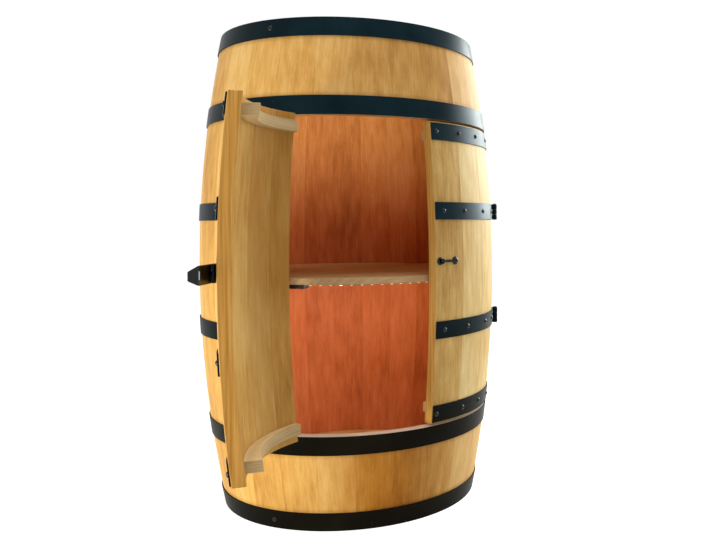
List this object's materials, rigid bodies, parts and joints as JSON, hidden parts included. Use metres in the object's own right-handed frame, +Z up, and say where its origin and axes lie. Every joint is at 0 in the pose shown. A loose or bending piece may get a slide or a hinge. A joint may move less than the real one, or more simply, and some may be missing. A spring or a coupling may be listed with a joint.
{
  "type": "barrel bar cabinet",
  "caption": "Coopered wooden barrel made into a drinks cabinet, with curved hinged doors, a round shelf, steel hoops and a hasp.",
  "frame": {"origin": "on the floor, on the barrel's axis, in the plane of its bottom rim", "axes": "+Z up along the barrel's axis, -Y out through the line where the two doors meet, +X to the right of a viewer who faces the doors"},
  "size_m": [0.6719, 0.5975, 0.8],
  "materials": {
    "barrel_oak": "satin oiled",
    "head_oak": "satin oiled",
    "shelf_board": "satin",
    "pale_wood": "raw sanded",
    "black_steel": "satin black",
    "black_hardware": "satin black",
    "light_strip": "diffuse strip",
    "dark_plastic": "matte"
  },
  "bodies": {
    "barrel": {"stave_01": "barrel_oak", "stave_02": "barrel_oak", "stave_03": "barrel_oak", "stave_04": "barrel_oak", "stave_05": "barrel_oak", "stave_06": "barrel_oak", "stave_07": "barrel_oak", "stave_08": "barrel_oak", "stave_09": "barrel_oak", "stave_10": "barrel_oak", "stave_11": "barrel_oak", "stave_12": "barrel_oak", "stave_13": "barrel_oak", "stave_14": "barrel_oak", "stave_15": "barrel_oak", "stave_16": "barrel_oak", "stave_17": "barrel_oak", "lower_front_staves": "barrel_oak", "upper_front_staves": "barrel_oak", "left_jamb_stave": "barrel_oak", "right_jamb_stave": "barrel_oak", "bottom_head": "head_oak", "top_head": "head_oak", "bottom_hoop": "black_steel", "lower_hoop": "black_steel", "upper_hoop": "black_steel", "top_hoop": "black_steel", "upper_hinge_hoop": "black_steel", "lower_hinge_hoop": "black_steel", "hinge_pins": "black_hardware", "shelf": "shelf_board", "shelf_cleats": "pale_wood", "upper_light_strip": "light_strip", "shelf_light_strip": "light_strip", "light_control": "dark_plastic", "hoop_screws": "black_hardware"},
    "left_door": {"left_door_staves": "barrel_oak", "left_door_bottom_ledge": "pale_wood", "left_door_top_ledge": "pale_wood", "left_door_bottom_strap": "black_steel", "left_door_top_strap": "black_steel", "left_door_lower_hinge_strap": "black_steel", "left_door_upper_hinge_strap": "black_steel", "left_door_screws": "black_hardware", "hasp_leaf": "black_hardware", "hasp_screws": "black_hardware", "hasp_pin": "black_hardware"},
    "right_door": {"right_door_staves": "barrel_oak", "right_door_bottom_ledge": "pale_wood", "right_door_top_ledge": "pale_wood", "right_door_bottom_strap": "black_steel", "right_door_top_strap": "black_steel", "right_door_lower_hinge_strap": "black_steel", "right_door_upper_hinge_strap": "black_steel", "right_door_screws": "black_hardware", "staple": "black_hardware"},
    "hasp": {"hasp_plate": "black_hardware"}
  },
  "joints": [
    {"name": "left_door_hinge", "type": "hinge", "parent": "barrel", "child": "left_door", "pos_m": [-0.21358, -0.15518, 0.404], "axis": [0, 0, 1], "range_deg": [-22.8, 107.2]},
    {"name": "right_door_hinge", "type": "hinge", "parent": "barrel", "child": "right_door", "pos_m": [0.21358, -0.15518, 0.404], "axis": [0, 0, 1], "range_deg": [0, 130]},
    {"name": "hasp_hinge", "type": "hinge", "parent": "left_door", "child": "hasp", "pos_m": [-0.36822, -0.29936, 0.419], "axis": [0, 0, 1], "range_deg": [-127, 23]}
  ]
}
